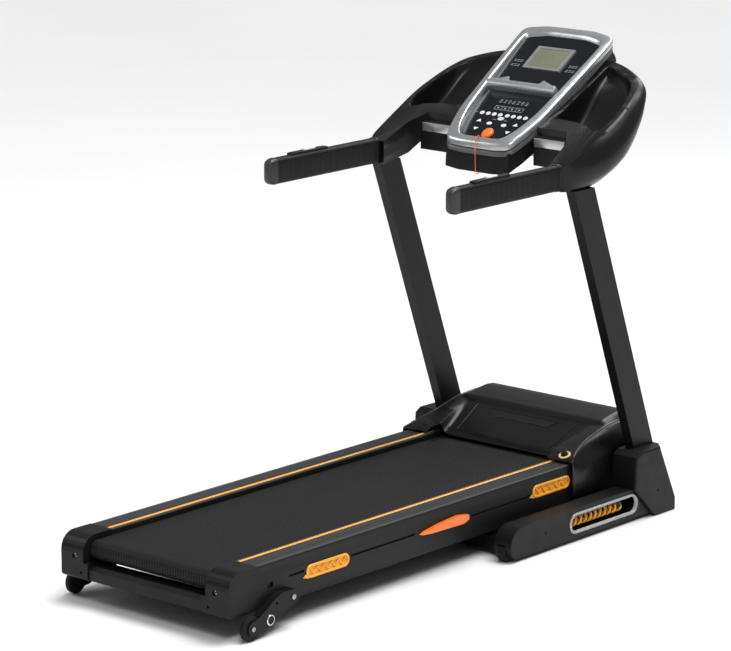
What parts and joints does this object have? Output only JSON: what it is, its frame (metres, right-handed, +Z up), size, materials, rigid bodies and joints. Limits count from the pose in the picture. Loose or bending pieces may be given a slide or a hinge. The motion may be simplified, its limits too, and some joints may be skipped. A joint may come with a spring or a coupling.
{
  "type": "folding treadmill",
  "caption": "Folding home treadmill with a running belt on a hinged deck, leaning uprights, and a console with grips, buttons and a safety key.",
  "frame": {"origin": "centre of the bounding box's bottom face, on the floor between the base and the deck's rear wheels", "axes": "+X to the user's right when facing the console, +Y forward from the deck's rear end to the console, +Z up"},
  "size_m": [0.806, 1.7684, 1.3241],
  "materials": {
    "black_steel": "black powder coat",
    "black_plastic": "fine-textured black",
    "gloss_plastic": "gloss black",
    "grey_rail": "dark grey, satin",
    "silver_plastic": "silver metallic paint",
    "bright_steel": "hard chrome",
    "zinc_steel": "zinc plated",
    "belt_rubber": "woven-backed belt with a fine diamond texture",
    "rubber": "matt",
    "grip_foam": "soft-touch foam",
    "amber_plastic": "satin amber",
    "amber_paint": "amber paint on spring steel",
    "orange_plastic": "semi-gloss orange",
    "deck_board": "laminated board",
    "panel_black": "printed film, near black",
    "screen_grey": "clear window over a grey-green display",
    "button_white": "light grey"
  },
  "bodies": {
    "base": {"base_frame": "black_steel", "console_body": "gloss_plastic", "console_housing": "black_plastic", "console_bezel": "silver_plastic", "face_panel": "panel_black", "display_window": "screen_grey", "reading_ledge": "silver_plastic", "safety_lanyard": "orange_plastic", "lanyard_clip": "black_plastic", "base_rail_cover_right": "black_plastic", "shock_spring_right": "amber_paint", "upright_right": "black_steel", "upright_boot_right": "black_plastic", "pulse_bar_right": "silver_plastic", "grip_right": "grip_foam", "base_rail_cover_left": "black_plastic", "shock_spring_left": "amber_paint", "upright_left": "black_steel", "upright_boot_left": "black_plastic", "pulse_bar_left": "silver_plastic", "grip_left": "grip_foam"},
    "deck": {"deck_frame": "black_steel", "deck_board": "deck_board", "rear_cover": "black_plastic", "running_belt": "belt_rubber", "drive_motor": "black_steel", "drive_belt": "rubber", "motor_hood": "gloss_plastic", "power_inlet": "black_plastic", "foot_rail_right": "grey_rail", "side_bumper_rear_right": "amber_plastic", "side_bumper_front_right": "amber_plastic", "rear_cap_right": "black_plastic", "foot_rail_left": "grey_rail", "side_bumper_rear_left": "amber_plastic", "side_bumper_front_left": "amber_plastic", "rear_cap_left": "black_plastic"},
    "front_roller": {"front_roller": "zinc_steel"},
    "rear_roller": {"rear_roller": "zinc_steel"},
    "motor_pulley": {"motor_pulley": "zinc_steel"},
    "power_switch": {"power_switch": "black_plastic"},
    "fold_release_lever": {"fold_release_lever": "orange_plastic"},
    "strut_cylinder": {"strut_cylinder": "black_steel"},
    "strut_rod": {"strut_rod": "bright_steel"},
    "safety_key": {"safety_key": "orange_plastic"},
    "start_button": {"start_button": "button_white"},
    "stop_button": {"stop_button": "button_white"},
    "speed_up_button": {"speed_up_button": "button_white"},
    "speed_down_button": {"speed_down_button": "button_white"},
    "incline_up_button": {"incline_up_button": "button_white"},
    "incline_down_button": {"incline_down_button": "button_white"},
    "level_foot_right": {"level_foot_right": "black_steel"},
    "level_wheel_right": {"level_wheel_right": "rubber"},
    "transport_wheel_right": {"transport_wheel_right": "rubber"},
    "grip_rocker_right": {"grip_rocker_right": "button_white"},
    "level_foot_left": {"level_foot_left": "black_steel"},
    "level_wheel_left": {"level_wheel_left": "rubber"},
    "transport_wheel_left": {"transport_wheel_left": "rubber"},
    "grip_rocker_left": {"grip_rocker_left": "button_white"}
  },
  "joints": [
    {"name": "deck_fold", "type": "hinge", "parent": "base", "child": "deck", "pos_m": [0, 0.76377, 0.15], "axis": [-1, 0, 0], "range_deg": [0, 62]},
    {"name": "front_roller_spin", "type": "hinge", "parent": "deck", "child": "front_roller", "pos_m": [0, 0.56377, 0.1412], "axis": [1, 0, 0], "continuous": true},
    {"name": "rear_roller_spin", "type": "hinge", "parent": "deck", "child": "rear_roller", "pos_m": [0, -0.83623, 0.1412], "axis": [1, 0, 0], "continuous": true},
    {"name": "motor_pulley_spin", "type": "hinge", "parent": "deck", "child": "motor_pulley", "pos_m": [-0.23, 0.68377, 0.1325], "axis": [1, 0, 0], "continuous": true},
    {"name": "fold_release_lever_press", "type": "hinge", "parent": "deck", "child": "fold_release_lever", "pos_m": [0.2953, 0.02377, 0.133], "axis": [1, 0, 0], "range_deg": [0, 10], "stiffness_Nm_per_rad": 1.5, "springref_deg": -8.59},
    {"name": "strut_swing", "type": "hinge", "parent": "base", "child": "strut_cylinder", "pos_m": [0.235, 0.64877, 0.04], "axis": [-1, 0, 0], "range_deg": [0, 63.5]},
    {"name": "strut_extend", "type": "slide", "parent": "strut_cylinder", "child": "strut_rod", "axis": [0, -0.9558, 0.2941], "range_m": [0, 0.165]},
    {"name": "power_switch_rock", "type": "hinge", "parent": "deck", "child": "power_switch", "pos_m": [0.1605, 0.83477, 0.1375], "axis": [1, 0, 0], "range_deg": [-8, 8]},
    {"name": "level_foot_right_tilt", "type": "hinge", "parent": "deck", "child": "level_foot_right", "pos_m": [0.2965, -0.67123, 0.083], "axis": [-1, 0, 0], "range_deg": [0, 20]},
    {"name": "level_wheel_right_spin", "type": "hinge", "parent": "level_foot_right", "child": "level_wheel_right", "pos_m": [0.30825, -0.82123, 0.033], "axis": [1, 0, 0], "continuous": true},
    {"name": "transport_wheel_right_spin", "type": "hinge", "parent": "base", "child": "transport_wheel_right", "pos_m": [0.36, 0.13377, 0.026], "axis": [1, 0, 0], "continuous": true},
    {"name": "grip_rocker_right_tilt", "type": "hinge", "parent": "base", "child": "grip_rocker_right", "pos_m": [0.32, 0.10377, 1.043], "axis": [1, 0, 0], "range_deg": [-4, 4], "stiffness_Nm_per_rad": 0.1},
    {"name": "level_foot_left_tilt", "type": "hinge", "parent": "deck", "child": "level_foot_left", "pos_m": [-0.2965, -0.67123, 0.083], "axis": [-1, 0, 0], "range_deg": [0, 20]},
    {"name": "level_wheel_left_spin", "type": "hinge", "parent": "level_foot_left", "child": "level_wheel_left", "pos_m": [-0.30825, -0.82123, 0.033], "axis": [1, 0, 0], "continuous": true},
    {"name": "transport_wheel_left_spin", "type": "hinge", "parent": "base", "child": "transport_wheel_left", "pos_m": [-0.36, 0.13377, 0.026], "axis": [1, 0, 0], "continuous": true},
    {"name": "grip_rocker_left_tilt", "type": "hinge", "parent": "base", "child": "grip_rocker_left", "pos_m": [-0.32, 0.10377, 1.043], "axis": [1, 0, 0], "range_deg": [-4, 4], "stiffness_Nm_per_rad": 0.1},
    {"name": "safety_key_pull", "type": "slide", "parent": "base", "child": "safety_key", "axis": [0, -0.5508, 0.8346], "range_m": [0, 0.02]},
    {"name": "start_button_press", "type": "slide", "parent": "base", "child": "start_button", "axis": [0, 0.5508, -0.8346], "range_m": [0, 0.001], "stiffness_N_per_m": 400, "springref_m": -0.001},
    {"name": "stop_button_press", "type": "slide", "parent": "base", "child": "stop_button", "axis": [0, 0.5508, -0.8346], "range_m": [0, 0.001], "stiffness_N_per_m": 400, "springref_m": -0.001},
    {"name": "speed_up_button_press", "type": "slide", "parent": "base", "child": "speed_up_button", "axis": [0, 0.5508, -0.8346], "range_m": [0, 0.001], "stiffness_N_per_m": 400, "springref_m": -0.001},
    {"name": "speed_down_button_press", "type": "slide", "parent": "base", "child": "speed_down_button", "axis": [0, 0.5508, -0.8346], "range_m": [0, 0.001], "stiffness_N_per_m": 400, "springref_m": -0.001},
    {"name": "incline_up_button_press", "type": "slide", "parent": "base", "child": "incline_up_button", "axis": [0, 0.5508, -0.8346], "range_m": [0, 0.001], "stiffness_N_per_m": 400, "springref_m": -0.001},
    {"name": "incline_down_button_press", "type": "slide", "parent": "base", "child": "incline_down_button", "axis": [0, 0.5508, -0.8346], "range_m": [0, 0.001], "stiffness_N_per_m": 400, "springref_m": -0.001}
  ],
  "couplings": [
    {"joint": "rear_roller_spin", "follows": "front_roller_spin", "ratio": 1},
    {"joint": "motor_pulley_spin", "follows": "front_roller_spin", "ratio": 2.1429},
    {"joint": "strut_swing", "follows": "deck_fold", "ratio": 1.0186},
    {"joint": "strut_extend", "follows": "deck_fold", "m_per_rad": 0.15144}
  ]
}
